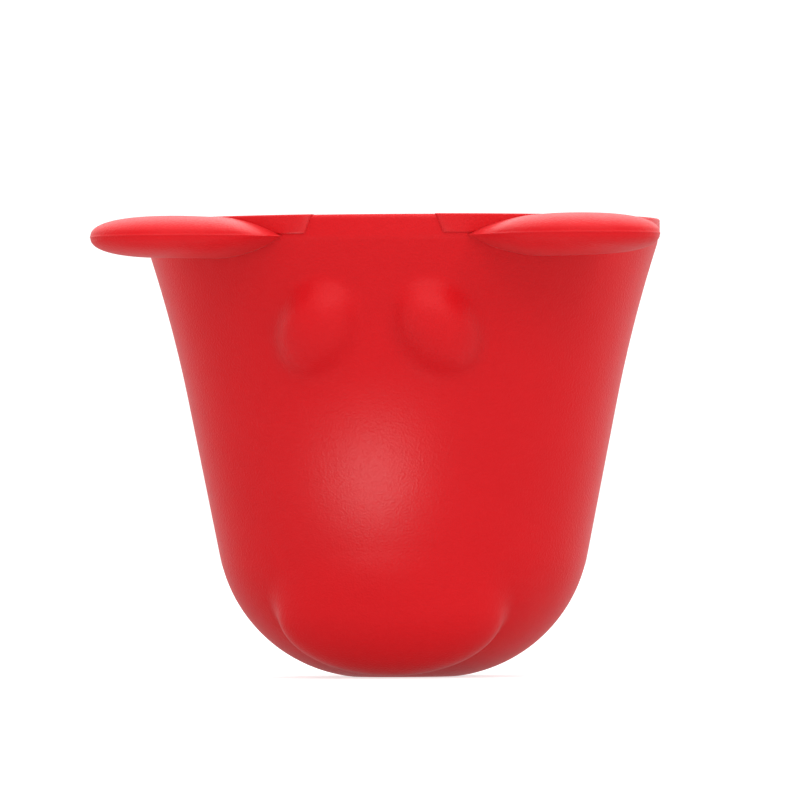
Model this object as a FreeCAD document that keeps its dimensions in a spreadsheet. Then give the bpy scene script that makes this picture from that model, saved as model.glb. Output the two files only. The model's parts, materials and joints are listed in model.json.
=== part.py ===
import FreeCAD, Part
import math
import os

import Sketcher
from FreeCAD import Placement, Rotation, Vector

# Paw washer cup: a soft cup with an animal's face in relief, two flexible ears at the rim
# and a lift-out brush inside. Millimetres, +Z up, the face looks along -Y, and the origin
# is the centre of the flat foot that the cup stands on.

# Driving dimensions, in millimetres and degrees. Each is a cell of the sheet with that alias.
DRIVING = {
    # Outline of the cup: a belly arc, a straight wall and a flare arc, each tangent to the next.
    "belly_centre_radius": 6.6,
    "belly_centre_height": 27.6,
    "belly_arc": 27.75,
    "flare_centre_radius": 282.7,
    "flare_centre_height": 2.3,
    "flare_arc": 248.0,
    "rim_height": 83.9,
    "wall_thickness": 2.5,
    "floor_thickness": 2.6,
    "rim_radius": 47.1,
    "mouth_radius": 44.6,
    "mouth_height": 79.6,
    # Collar let into the outside of the rim. It stops either side of the face.
    "collar_radius": 47.5,
    "collar_inner_radius": 46.2,
    "collar_height": 3.4,
    "collar_gap_angle": 29.0,
    "rim_edge_round": 0.5,
    # Eyes and muzzle.
    "eye_angle": 15.2,
    "eye_height": 63.5,
    "eye_half_length": 8.9,
    "eye_half_width": 6.6,
    "eye_relief": 3.9,
    "eye_lean": 39.0,
    "muzzle_half_width": 20.5,
    "muzzle_half_length": 12.2,
    "muzzle_half_depth": 9.9,
    "muzzle_forward": 24.8,
    "muzzle_height": 12.0,
    "muzzle_tilt": 38.0,
    # Ears: flat pads that hinge on a stub of the collar.
    "ear_angle": 39.6,
    "ear_level": 80.1,
    "ear_centre": 57.9,
    "ear_radius": 14.6,
    "ear_half_thickness": 3.8,
    "ear_root_half_width": 15.2,
    "ear_root_half_thickness": 2.75,
    "ear_hinge_radius": 52.5,
    "ear_stub_half_thickness": 2.0,
    "ear_stub_start": 40.0,
    "ear_clearance": 0.3,
    # Lift-out brush: a sleeve, seven rings of bristles and a floor pad.
    "brush_gap": 0.3,
    "sleeve_thickness": 1.3,
    "sleeve_floor_thickness": 3.0,
    "sleeve_top": 78.6,
    "sleeve_lip_height": 2.4,
    "sleeve_lip_thickness": 2.6,
    "drain_radius": 2.0,
    "drain_circle": 12.0,
    "ring_gap": 0.1,
    "ring_backing": 1.0,
    "ring_first": 9.8,
    "ring_pitch": 9.2,
    "ring_height": 9.0,
    "bristle_root_radius": 1.35,
    "bristle_tip_radius": 0.7,
    "bristle_length": 12.0,
    "bristle_spacing": 8.6,
    "pad_radius": 15.6,
    "pad_thickness": 1.2,
    "nub_root_radius": 1.3,
    "nub_tip_radius": 0.8,
    "nub_length": 4.0,
    "nub_circle": 7.6,
}
RING_COUNT = 7
ROW_COUNT = 2
DRAIN_COUNT = 6
SIDES = {"left": -1, "right": 1}

document = FreeCAD.newDocument("PawWasherCup")
sheet = document.addObject("Spreadsheet::Sheet", "Dimensions")


def add_cell(alias, value):
    """One more row of the sheet: the name in column A, the plain number in column B."""
    row = add_cell.next_row
    sheet.set(f"A{row}", alias)
    sheet.set(f"B{row}", repr(round(float(value), 6)))
    sheet.setAlias(f"B{row}", alias)
    add_cell.next_row = row + 1


add_cell.next_row = 1
for dimension, size in DRIVING.items():
    add_cell(dimension, size)
document.recompute()


def value(alias):
    return float(sheet.get(alias))


def wall_normal():
    """Unit normal (radius, height) of the straight wall, which both arcs run into smoothly."""
    across = value("flare_centre_radius") - value("belly_centre_radius")
    up = value("flare_centre_height") - value("belly_centre_height")
    turn = math.acos((value("belly_arc") + value("flare_arc")) / math.hypot(across, up))
    angle = math.atan2(up, across) - turn
    return math.cos(angle), math.sin(angle)


def wall_ends(inset):
    """The straight wall's lower and upper ends (radius, height), inset from the outside."""
    normal = wall_normal()
    belly, flare = value("belly_arc") - inset, value("flare_arc") + inset
    low = (
        value("belly_centre_radius") + belly * normal[0],
        value("belly_centre_height") + belly * normal[1],
    )
    high = (
        value("flare_centre_radius") - flare * normal[0],
        value("flare_centre_height") - flare * normal[1],
    )
    return low, high


def outline_radius(height, inset=0.0):
    """Radius of the cup's outline, inset from the outside, at a height."""
    low, high = wall_ends(inset)
    if height < low[1]:
        rise = height - value("belly_centre_height")
        return value("belly_centre_radius") + math.sqrt((value("belly_arc") - inset) ** 2 - rise**2)
    if height < high[1]:
        share = (height - low[1]) / (high[1] - low[1])
        return low[0] + share * (high[0] - low[0])
    rise = height - value("flare_centre_height")
    return value("flare_centre_radius") - math.sqrt((value("flare_arc") + inset) ** 2 - rise**2)


def derive_sizes():
    """Cells worked out from the driving ones: where each ring of bristles sits, and how many it has."""
    sleeve = value("wall_thickness") + value("brush_gap")
    backing = sleeve + value("sleeve_thickness") + value("ring_gap")
    add_cell("sleeve_inset", sleeve)
    add_cell("sleeve_floor", value("floor_thickness") + value("brush_gap"))
    document.recompute()
    add_cell("pad_floor", value("sleeve_floor") + value("sleeve_floor_thickness"))
    inside = backing + value("ring_backing")
    for ring in range(1, RING_COUNT + 1):
        name = f"ring_{ring}"
        low = value("ring_first") + (ring - 1) * value("ring_pitch")
        high = low + value("ring_height")
        add_cell(f"{name}_low", low)
        add_cell(f"{name}_outer_low_radius", outline_radius(low, backing))
        add_cell(f"{name}_outer_high_radius", outline_radius(high, backing))
        add_cell(f"{name}_inner_low_radius", outline_radius(low, inside))
        add_cell(f"{name}_inner_high_radius", outline_radius(high, inside))
        middle = outline_radius((low + high) / 2, inside)
        add_cell(f"{name}_count", round(2 * math.pi * middle / value("bristle_spacing")))
        for row in range(ROW_COUNT):
            level = low + value("ring_height") * (row + 0.5) / ROW_COUNT
            root = outline_radius(level + value("bristle_root_radius"), backing)
            tip = outline_radius(level, inside) - value("bristle_length")
            add_cell(f"{name}_row_{row + 1}_level", level)
            add_cell(f"{name}_row_{row + 1}_root", root)
            add_cell(f"{name}_row_{row + 1}_tip", tip)
    document.recompute()


derive_sizes()


def origin_feature(body, role):
    return next(f for f in body.Origin.OriginFeatures if f.Role == role)


def new_body(name):
    body = document.addObject("PartDesign::Body", name)
    body.Label = name
    return body


def new_sketch(body, name, plane="XZ_Plane"):
    """A sketch whose x is the radius and y the height, on one of the body's upright planes."""
    sketch = body.newObject("Sketcher::SketchObject", name)
    sketch.AttachmentSupport = [(origin_feature(body, plane), "")]
    sketch.MapMode = "FlatFace"
    return sketch


def bind(sketch, index, expression):
    sketch.setExpression(f"Constraints[{index}]", expression)


def set_size(sketch, kind, geometry, expression, start_size):
    """A dimension between named points, or a radius, held by a formula on the sheet."""
    index = sketch.addConstraint(Sketcher.Constraint(kind, *geometry, start_size))
    bind(sketch, index, expression)


def add_polygon(sketch, corners):
    """A closed outline of straight lines. Each corner is two (formula, number) pairs, x and y."""
    count = len(corners)
    for i in range(count):
        start, end = corners[i], corners[(i + 1) % count]
        line = Part.LineSegment(Vector(start[0][1], start[1][1], 0), Vector(end[0][1], end[1][1], 0))
        sketch.addGeometry(line, False)
    for i in range(count):
        sketch.addConstraint(Sketcher.Constraint("Coincident", i, 2, (i + 1) % count, 1))
    for i, (x, y) in enumerate(corners):
        for kind, (formula, number), axis in (("DistanceX", x, -2), ("DistanceY", y, -1)):
            if formula is None:
                sketch.addConstraint(Sketcher.Constraint("PointOnObject", i, 1, axis))
            else:
                set_size(sketch, kind, (-1, 1, i, 1), formula, number)


def on_sheet(*names):
    """(formula, number) of a sum of cells. A name that starts with - is taken away."""
    formula = " ".join(f"{'-' if n[0] == '-' else '+'} Dimensions.{n.lstrip('-')}" for n in names)
    number = sum(-value(n[1:]) if n[0] == "-" else value(n) for n in names)
    return formula.lstrip("+ "), number


ON_AXIS = (None, 0.0)


def add_cup_outline(sketch, insets, floor, top):
    """The closed half outline of the cup, inset from the outside by the cells in insets."""
    inset_formula, inset = on_sheet(*insets) if insets else ("0", 0.0)
    floor_height, top_height = floor[1], top[1]
    low, high = wall_ends(inset)
    belly_centre = Vector(value("belly_centre_radius"), value("belly_centre_height"), 0)
    flare_centre = Vector(value("flare_centre_radius"), value("flare_centre_height"), 0)
    foot = Vector(outline_radius(floor_height, inset), floor_height, 0)
    mouth = Vector(outline_radius(top_height, inset), top_height, 0)
    low, high = Vector(*low, 0), Vector(*high, 0)

    def arc(centre, start, end):
        spokes = [point - centre for point in (start, end)]
        angles = [math.atan2(spoke.y, spoke.x) for spoke in spokes]
        circle = Part.Circle(centre, Vector(0, 0, 1), spokes[0].Length)
        return Part.ArcOfCircle(circle, *angles)

    floor_line, belly, wall, flare, top_line, axis_line = range(6)
    sketch.addGeometry(
        [
            Part.LineSegment(Vector(0, floor_height, 0), foot),
            arc(belly_centre, foot, low),
            Part.LineSegment(low, high),
            arc(flare_centre, mouth, high),
            Part.LineSegment(mouth, Vector(0, top_height, 0)),
            Part.LineSegment(Vector(0, top_height, 0), Vector(0, floor_height, 0)),
        ],
        False,
    )
    for rule in (
        ("Coincident", floor_line, 2, belly, 1),
        ("Tangent", belly, 2, wall, 1),
        ("Tangent", wall, 2, flare, 2),
        ("Coincident", flare, 1, top_line, 1),
        ("Coincident", top_line, 2, axis_line, 1),
        ("Coincident", axis_line, 2, floor_line, 1),
        ("Horizontal", floor_line),
        ("Horizontal", top_line),
        ("Vertical", axis_line),
        ("PointOnObject", floor_line, 1, -2),
    ):
        sketch.addConstraint(Sketcher.Constraint(*rule))
    for centre, geometry in (("belly_centre", belly), ("flare_centre", flare)):
        for kind, alias in (("DistanceX", f"{centre}_radius"), ("DistanceY", f"{centre}_height")):
            set_size(sketch, kind, (-1, 1, geometry, 3), f"Dimensions.{alias}", value(alias))
    set_size(
        sketch, "Radius", (belly,), f"Dimensions.belly_arc - ({inset_formula})", value("belly_arc") - inset
    )
    set_size(
        sketch, "Radius", (flare,), f"Dimensions.flare_arc + ({inset_formula})", value("flare_arc") + inset
    )
    if floor[0] is None:
        sketch.addConstraint(Sketcher.Constraint("PointOnObject", floor_line, 2, -1))
    else:
        set_size(sketch, "DistanceY", (-1, 1, floor_line, 2), *floor)
    set_size(sketch, "DistanceY", (-1, 1, top_line, 1), *top)


def spin(body, kind, name, sketch, axis="V_Axis", angle=360.0, middle=False):
    """A Revolution or Groove of a sketch about one of its own axes."""
    feature = body.newObject(f"PartDesign::{kind}", name)
    feature.Profile = sketch
    feature.ReferenceAxis = (sketch, [axis])
    feature.Angle = angle
    feature.Midplane = middle
    return feature


def round_edges(body, name, radius_cell, chosen):
    """A fillet on the edges of the body's tip for which chosen(edge) is true."""
    document.recompute()
    base = body.Tip
    edges = [f"Edge{i}" for i, edge in enumerate(base.Shape.Edges, 1) if chosen(edge)]
    fillet = body.newObject("PartDesign::Fillet", name)
    fillet.Base = (base, edges)
    fillet.setExpression("Radius", f"Dimensions.{radius_cell}")
    return fillet


def runs_round_at(edge, height, radius):
    """True for an edge that lies at a height and goes round the cup's axis at a radius."""
    ends = [edge.valueAt(edge.FirstParameter), edge.valueAt(edge.LastParameter)]
    level = edge.BoundBox.ZLength < 1e-6 and abs(edge.BoundBox.ZMin - height) < 1e-6
    return level and all(abs(math.hypot(end.x, end.y) - radius) < 1e-6 for end in ends)


def make_cup_shell():
    """The outer cup: one soft wall with the eyes and muzzle raised on it."""
    body = new_body("cup_shell")
    outside = new_sketch(body, "cup_outside")
    add_cup_outline(outside, (), ON_AXIS, on_sheet("rim_height"))
    spin(body, "Revolution", "cup_solid", outside)
    for side, sign in SIDES.items():
        eye = body.newObject("PartDesign::AdditiveEllipsoid", f"{side}_eye")
        eye.setExpression("Radius1", "Dimensions.eye_relief")
        eye.setExpression("Radius2", "Dimensions.eye_half_length")
        eye.setExpression("Radius3", "Dimensions.eye_half_width")
        eye.Placement = eye_place(sign)
    muzzle = body.newObject("PartDesign::AdditiveEllipsoid", "muzzle")
    muzzle.setExpression("Radius1", "Dimensions.muzzle_half_length")
    muzzle.setExpression("Radius2", "Dimensions.muzzle_half_width")
    muzzle.setExpression("Radius3", "Dimensions.muzzle_half_depth")
    nose = Vector(0, -value("muzzle_forward"), value("muzzle_height"))
    muzzle.Placement = Placement(nose, Rotation(Vector(1, 0, 0), value("muzzle_tilt")))
    inside = new_sketch(body, "cup_inside")
    add_cup_outline(inside, ("wall_thickness",), on_sheet("floor_thickness"), on_sheet("mouth_height"))
    spin(body, "Groove", "cup_hollow", inside)
    mouth = new_sketch(body, "mouth_section")
    reach, low = on_sheet("mouth_radius"), on_sheet("mouth_height")
    past_rim = on_sheet("rim_height", "collar_height")
    add_polygon(mouth, [(ON_AXIS, low), (reach, low), (reach, past_rim), (ON_AXIS, past_rim)])
    spin(body, "Groove", "mouth_bore", mouth)
    trim = new_sketch(body, "rim_section")
    edge, low = on_sheet("rim_radius"), on_sheet("mouth_height", "-rim_edge_round")
    outer = on_sheet("collar_radius", "collar_height")
    add_polygon(trim, [(edge, low), (outer, low), (outer, past_rim), (edge, past_rim)])
    spin(body, "Groove", "rim_trim", trim)
    seat = new_sketch(body, "collar_seat_section", "YZ_Plane")
    inner, low = on_sheet("collar_inner_radius"), on_sheet("rim_height", "-collar_height")
    add_polygon(seat, [(inner, low), (outer, low), (outer, past_rim), (inner, past_rim)])
    groove = spin(body, "Groove", "collar_seat", seat, middle=True)
    groove.setExpression("Angle", "360 - Dimensions.collar_gap_angle")
    rim, mouth_radius = value("rim_height"), value("mouth_radius")
    round_edges(body, "mouth_round", "rim_edge_round", lambda e: runs_round_at(e, rim, mouth_radius))
    return body


def eye_place(sign):
    """Where an eye goes: its short axis leaves the wall squarely and its long axis leans."""
    around = math.radians(value("eye_angle"))
    height, lean = value("eye_height"), math.radians(value("eye_lean"))
    slope = (outline_radius(height + 1) - outline_radius(height - 1)) / 2
    tilt = math.atan(slope)
    out = Vector(sign * math.sin(around), -math.cos(around), 0)
    aside = Vector(sign * math.cos(around), math.sin(around), 0)
    up = Vector(0, 0, 1)
    normal = out * math.cos(tilt) - up * math.sin(tilt)
    climb = out * math.sin(tilt) + up * math.cos(tilt)
    long_axis = climb * math.cos(lean) - aside * math.sin(lean)
    centre = out * outline_radius(height) + up * height
    return Placement(centre, Rotation(long_axis, normal.cross(long_axis), normal, "ZXY"))


def along_ear(sign):
    """Unit vector from the cup's axis out along an ear, and one across it."""
    around = math.radians(value("ear_angle"))
    out = Vector(sign * math.sin(around), -math.cos(around), 0)
    return out, Vector(-out.y, out.x, 0)


def ear_frame(sign, distance):
    """A placement on an ear's centre line: x across the ear, y out along it, z up."""
    out, across = along_ear(sign)
    centre = out * distance + Vector(0, 0, value("ear_level"))
    return Placement(centre, Rotation(across * -1, out, Vector(0, 0, 1), "ZXY"))


def ear_ellipse(name, sign, distance, half_width, half_thickness):
    """An ellipse across an ear, standing upright at a distance from the cup's axis."""
    ellipse = document.addObject("Part::Ellipse", name)
    ellipse.setExpression("MajorRadius", f"Dimensions.{half_width}")
    ellipse.setExpression("MinorRadius", f"Dimensions.{half_thickness}")
    upright = Rotation(Vector(1, 0, 0), 90)
    frame = ear_frame(sign, distance)
    ellipse.Placement = Placement(frame.Base, frame.Rotation * upright)
    return ellipse


def ear_ellipsoid(name, sign, distance, sizes, half=None):
    """An ellipsoid on an ear's centre line, or the half of it that faces "out" or "in".

    The half sizes are formulas on the sheet: across the ear, along it and up.
    """
    ellipsoid = document.addObject("Part::Ellipsoid", name)
    for radius, formula in zip(("Radius2", "Radius3", "Radius1"), sizes):
        ellipsoid.setExpression(radius, formula)
    if half:
        ellipsoid.Angle3 = 180.0
    frame = ear_frame(sign, distance)
    if half == "in":
        frame = frame.multiply(Placement(Vector(), Rotation(Vector(0, 0, 1), 180)))
    ellipsoid.Placement = frame
    return ellipsoid


def combine(kind, name, first, *others):
    """A Cut of two objects, or a MultiFuse of several."""
    feature = document.addObject(f"Part::{kind}", name)
    if kind == "Cut":
        feature.Base, feature.Tool = first, others[0]
    else:
        feature.Shapes = [first, *others]
    return feature


def make_ear(side, sign):
    """A flat domed pad. Its inner end is a rounded knuckle that turns in the collar's stub."""
    hinge, centre = value("ear_hinge_radius"), value("ear_centre")
    root = ear_ellipse(
        f"{side}_ear_root", sign, hinge, "ear_root_half_width", "ear_root_half_thickness"
    )
    middle = ear_ellipse(f"{side}_ear_middle", sign, centre, "ear_radius", "ear_half_thickness")
    neck = document.addObject("Part::Loft", f"{side}_ear_neck")
    neck.Sections = [root, middle]
    neck.Solid = True
    neck.Ruled = True
    disc, thick = "Dimensions.ear_radius", "Dimensions.ear_half_thickness"
    tip = ear_ellipsoid(f"{side}_ear_tip", sign, centre, (disc, disc, thick), "out")
    wide, thin = "Dimensions.ear_root_half_width", "Dimensions.ear_root_half_thickness"
    knuckle = ear_ellipsoid(f"{side}_ear_knuckle", sign, hinge, (wide, thin, thin), "in")
    ear = combine("MultiFuse", f"{side}_ear_pad", neck, tip, knuckle)
    ear.Label = f"{side}_ear"
    return ear


def make_collar_ring():
    """The C-shaped collar itself, open in front of the face."""
    body = new_body("collar_ring")
    section = new_sketch(body, "collar_section", "YZ_Plane")
    inner, outer = on_sheet("collar_inner_radius"), on_sheet("collar_radius")
    low, high = on_sheet("rim_height", "-collar_height"), on_sheet("rim_height")
    add_polygon(section, [(inner, low), (outer, low), (outer, high), (inner, high)])
    ring = spin(body, "Revolution", "collar_sweep", section, middle=True)
    ring.setExpression("Angle", "360 - Dimensions.collar_gap_angle - Dimensions.ear_clearance")
    rim, outside = value("rim_height"), value("collar_radius")
    round_edges(body, "collar_round", "rim_edge_round", lambda e: runs_round_at(e, rim, outside))
    return body


def make_stub(side, sign, shell):
    """The fixed root of an ear: a flat bar with a hollow end that the ear's knuckle turns in."""
    start = value("ear_stub_start")
    outline = ear_ellipse(
        f"{side}_stub_outline", sign, start, "ear_root_half_width", "ear_stub_half_thickness"
    )
    bar = document.addObject("Part::Extrusion", f"{side}_stub_bar")
    bar.Base = outline
    bar.Dir = along_ear(sign)[0]
    bar.Solid = True
    bar.setExpression(
        "LengthFwd",
        "Dimensions.ear_hinge_radius - Dimensions.ear_stub_start - 3 * Dimensions.ear_clearance",
    )
    wide = "Dimensions.ear_root_half_width + Dimensions.ear_clearance"
    hollow = "Dimensions.ear_root_half_thickness + Dimensions.ear_clearance"
    hinge = value("ear_hinge_radius")
    seat = ear_ellipsoid(f"{side}_stub_seat", sign, hinge, (wide, hollow, hollow))
    hollowed = combine("Cut", f"{side}_stub_hollowed", bar, seat)
    outside_wall = combine("Cut", f"{side}_stub_outside", hollowed, shell)
    return outside_wall


def make_rim_collar(shell):
    """The collar with both ear stubs on it, cut to sit on the outside of the cup's wall."""
    bore = document.addObject("Part::Cylinder", "collar_bore")
    bore.setExpression("Radius", "Dimensions.collar_inner_radius")
    bore.setExpression("Height", "2 * Dimensions.rim_height")
    filled = combine("MultiFuse", "cup_filled", shell, bore)
    stubs = [make_stub(side, sign, filled) for side, sign in SIDES.items()]
    collar = combine("MultiFuse", "rim_collar_pieces", make_collar_ring(), *stubs)
    collar.Label = "rim_collar"
    return collar


def make_brush_sleeve():
    """The thin sleeve that carries the bristles, with a thick lip to pull it out by."""
    body = new_body("brush_sleeve")
    outside = new_sketch(body, "sleeve_outside")
    add_cup_outline(outside, ("sleeve_inset",), on_sheet("sleeve_floor"), on_sheet("sleeve_top"))
    spin(body, "Revolution", "sleeve_solid", outside)
    lip_base = on_sheet("sleeve_top", "-sleeve_lip_height")
    inside = new_sketch(body, "sleeve_inside")
    wall = ("sleeve_inset", "sleeve_thickness")
    add_cup_outline(inside, wall, on_sheet("pad_floor"), lip_base)
    spin(body, "Groove", "sleeve_hollow", inside)
    lip = new_sketch(body, "lip_opening")
    lip_inset = ("sleeve_inset", "sleeve_lip_thickness")
    above_pad = on_sheet("pad_floor", "pad_thickness")
    add_cup_outline(lip, lip_inset, above_pad, on_sheet("sleeve_top"))
    spin(body, "Groove", "lip_hollow", lip)
    add_drains(body)
    return body


def add_bristle(body, ring, row, turn):
    """One bristle that points at the cup's axis: a slim cone with a round tip."""
    name = f"bristle_row_{row}"
    level, root, tip = (value(f"ring_{ring}_row_{row}_{end}") for end in ("level", "root", "tip"))
    thick, thin = value("bristle_root_radius"), value("bristle_tip_radius")
    sketch = new_sketch(body, name)
    sketch.AttachmentOffset = Placement(Vector(0, level, 0), Rotation(Vector(0, 1, 0), turn))
    shoulder = Vector(tip + thin, 0, 0)
    tip_circle = Part.Circle(shoulder, Vector(0, 0, 1), thin)
    outline = [
        Part.LineSegment(Vector(tip, 0, 0), Vector(root, 0, 0)),
        Part.LineSegment(Vector(root, 0, 0), Vector(root, thick, 0)),
        Part.LineSegment(Vector(root, thick, 0), Vector(shoulder.x, thin, 0)),
        Part.ArcOfCircle(tip_circle, math.pi / 2, math.pi),
    ]
    sketch.addGeometry(outline, False)
    axis_line, root_line, side_line, tip_arc = range(4)
    for rule in (
        ("Coincident", axis_line, 2, root_line, 1),
        ("Coincident", root_line, 2, side_line, 1),
        ("Coincident", side_line, 2, tip_arc, 1),
        ("Coincident", tip_arc, 2, axis_line, 1),
        ("PointOnObject", axis_line, 1, -1),
        ("PointOnObject", axis_line, 2, -1),
        ("Vertical", root_line),
        ("PointOnObject", tip_arc, 3, -1),
        ("Vertical", tip_arc, 1, tip_arc, 3),
    ):
        sketch.addConstraint(Sketcher.Constraint(*rule))
    set_size(sketch, "Radius", (tip_arc,), *on_sheet("bristle_tip_radius"))
    set_size(sketch, "DistanceY", (root_line, 1, root_line, 2), *on_sheet("bristle_root_radius"))
    set_size(sketch, "DistanceX", (-1, 1, axis_line, 2), *on_sheet(f"ring_{ring}_row_{row}_root"))
    set_size(sketch, "DistanceX", (-1, 1, axis_line, 1), *on_sheet(f"ring_{ring}_row_{row}_tip"))
    return spin(body, "Revolution", f"{name}_body", sketch, "H_Axis")


def repeat_around(body, name, features, count):
    """Repeats features of the body round the cup's axis, evenly spaced."""
    pattern = body.newObject("PartDesign::PolarPattern", name)
    pattern.Originals = features
    pattern.Axis = (origin_feature(body, "Z_Axis"), [""])
    pattern.Angle = 360.0
    pattern.Occurrences = count
    body.Tip = pattern
    return pattern


def add_backing_section(body, name, ring, near, far, past=None):
    """A slanted strip between two of a ring's cones, or from one of them out past the rest."""
    low, high = on_sheet(f"ring_{ring}_low"), on_sheet(f"ring_{ring}_low", "ring_height")
    extra = (past,) if past else ()
    sketch = new_sketch(body, name)
    corners = [
        (on_sheet(f"ring_{ring}_{near}_low_radius"), low),
        (on_sheet(f"ring_{ring}_{far}_low_radius", *extra), low),
        (on_sheet(f"ring_{ring}_{far}_high_radius", *extra), high),
        (on_sheet(f"ring_{ring}_{near}_high_radius"), high),
    ]
    add_polygon(sketch, corners)
    return sketch


def make_bristle_ring(ring):
    """A backing band with two staggered rows of bristles that point at the cup's axis."""
    body = new_body(f"bristle_ring_{ring}")
    spin(body, "Revolution", "backing", add_backing_section(body, "band", ring, "inner", "outer"))
    count = int(value(f"ring_{ring}_count"))
    half_pitch = 180.0 / count
    rows = [
        add_bristle(body, ring, row, (row + ring % 2 / 2) * half_pitch) for row in range(1, ROW_COUNT + 1)
    ]
    repeat_around(body, "bristle_pattern", rows, count)
    outside = add_backing_section(body, "band_outside", ring, "outer", "outer", "ring_height")
    spin(body, "Groove", "root_trim", outside)
    return body


def add_drains(body):
    """Round holes through the floor, evenly spaced."""
    hole = body.newObject("Sketcher::SketchObject", "drain_hole")
    hole.AttachmentSupport = [(origin_feature(body, "XY_Plane"), "")]
    hole.MapMode = "FlatFace"
    centre, radius = Vector(value("drain_circle"), 0, 0), value("drain_radius")
    hole.addGeometry(Part.Circle(centre, Vector(0, 0, 1), radius))
    hole.addConstraint(Sketcher.Constraint("PointOnObject", 0, 3, -1))
    set_size(hole, "DistanceX", (-1, 1, 0, 3), *on_sheet("drain_circle"))
    set_size(hole, "Radius", (0,), *on_sheet("drain_radius"))
    pocket = body.newObject("PartDesign::Pocket", "drain_pocket")
    pocket.Profile = hole
    pocket.Reversed = True
    pocket.setExpression("Length", "2 * Dimensions.pad_floor")
    repeat_around(body, "drain_pattern", [pocket], DRAIN_COUNT)


def add_nub(body, name, distance):
    """One short nub that stands on the floor pad, at a distance from the middle."""
    sketch = new_sketch(body, name)
    sketch.AttachmentOffset = Placement(Vector(distance, 0, 0), Rotation())
    base, root, top = on_sheet("pad_floor"), on_sheet("nub_root_radius"), on_sheet("nub_tip_radius")
    tip = on_sheet("pad_floor", "pad_thickness", "nub_length")
    add_polygon(sketch, [(ON_AXIS, base), (root, base), (top, tip), (ON_AXIS, tip)])
    return spin(body, "Revolution", f"{name}_body", sketch)


def make_floor_pad():
    """The round pad on the sleeve's floor, with nubs that scrub the underside of a paw."""
    body = new_body("floor_pad")
    disc = new_sketch(body, "pad_section")
    edge, low = on_sheet("pad_radius"), on_sheet("pad_floor")
    high = on_sheet("pad_floor", "pad_thickness")
    add_polygon(disc, [(ON_AXIS, low), (edge, low), (edge, high), (ON_AXIS, high)])
    spin(body, "Revolution", "pad_disc", disc)
    add_drains(body)
    add_nub(body, "middle_nub", 0)
    circle = add_nub(body, "circle_nub", value("nub_circle"))
    repeat_around(body, "nub_pattern", [circle], DRAIN_COUNT)
    return body


def check_document():
    """Stops if any feature failed, which a recompute can leave unsaid."""
    document.recompute()
    failed = [o.Name for o in document.Objects if {"Invalid", "Error"} & set(o.State)]
    if failed:
        raise RuntimeError(f"these features failed: {failed}")


def main():
    shell = make_cup_shell()
    pieces = [shell, make_rim_collar(shell)]
    pieces += [make_ear(side, sign) for side, sign in SIDES.items()]
    pieces.append(make_brush_sleeve())
    pieces += [make_bristle_ring(ring) for ring in range(1, RING_COUNT + 1)]
    pieces.append(make_floor_pad())
    check_document()
    os.makedirs("parts", exist_ok=True)
    for piece in pieces:
        shape = piece.Shape
        if shape.isNull() or not shape.isValid():
            raise RuntimeError(f"{piece.Label} has no valid shape")
        box = shape.optimalBoundingBox()
        print(
            f"{piece.Label}: {len(shape.Solids)} solid(s), {shape.Volume / 1000:.2f} cm3, "
            f"x {box.XMin:.1f} to {box.XMax:.1f}, y {box.YMin:.1f} to {box.YMax:.1f}, "
            f"z {box.ZMin:.1f} to {box.ZMax:.1f}"
        )
        shape.exportStep(f"parts/{piece.Label}.step")


main()
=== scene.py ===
"""Paw washer cup: the visible pieces and their silicone finishes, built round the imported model.

The cup stands on the row frame's origin with +Z up and its face towards -Y. Lengths are in metres.
"""

import json
import math
import random

import bmesh
import bpy
import numpy as np
from bpy.props import FloatProperty, FloatVectorProperty, IntProperty, PointerProperty
from mathutils import Matrix, Vector


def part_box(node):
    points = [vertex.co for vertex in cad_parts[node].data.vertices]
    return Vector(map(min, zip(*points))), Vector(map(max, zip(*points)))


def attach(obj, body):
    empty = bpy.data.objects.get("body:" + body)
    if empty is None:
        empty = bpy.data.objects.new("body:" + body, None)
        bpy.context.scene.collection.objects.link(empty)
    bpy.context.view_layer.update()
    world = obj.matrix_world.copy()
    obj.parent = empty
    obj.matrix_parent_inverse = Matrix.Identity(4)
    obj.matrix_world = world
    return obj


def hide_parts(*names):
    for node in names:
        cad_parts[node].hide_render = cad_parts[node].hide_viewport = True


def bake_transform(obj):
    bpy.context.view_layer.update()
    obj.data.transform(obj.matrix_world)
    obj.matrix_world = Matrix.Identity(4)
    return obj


bl_info = {
    "name": "Paw Washer Cup",
    "version": (1, 0, 0),
    "blender": (4, 5, 0),
    "location": "View3D > Sidebar > Paw Cup",
    "description": "Builds the soft cup, its ears and its lift-out brush round the packed frame",
    "category": "Add Mesh",
}

MM = 0.001
TINY = 1e-12
SIDES = {"left": -1, "right": 1}

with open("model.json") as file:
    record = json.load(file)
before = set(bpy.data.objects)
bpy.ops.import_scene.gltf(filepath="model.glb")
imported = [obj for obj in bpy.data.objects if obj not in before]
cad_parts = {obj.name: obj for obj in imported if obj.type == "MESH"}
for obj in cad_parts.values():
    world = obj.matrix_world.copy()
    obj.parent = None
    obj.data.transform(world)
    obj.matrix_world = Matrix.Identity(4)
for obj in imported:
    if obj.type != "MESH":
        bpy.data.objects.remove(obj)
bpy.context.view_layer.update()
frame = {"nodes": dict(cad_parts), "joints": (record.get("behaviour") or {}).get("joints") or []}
SHELL_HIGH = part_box("cup_shell")[1]
COLLAR_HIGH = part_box("rim_collar")[1]
SLEEVE_LOW, SLEEVE_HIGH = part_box("brush_sleeve")
PAD_LOW, PAD_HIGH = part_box("floor_pad")
RINGS = sorted(name for name in frame["nodes"] if name.startswith("bristle_ring_"))
HINGES = {joint["name"]: Vector(joint["pos_m"]) for joint in frame["joints"] if "pos_m" in joint}
EAR_HINGES = {side: HINGES[f"{side}_ear_flex"] for side in SIDES}


def length(name, description, default):
    return FloatProperty(name=name, description=description, default=default, unit="LENGTH", precision=5)


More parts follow.
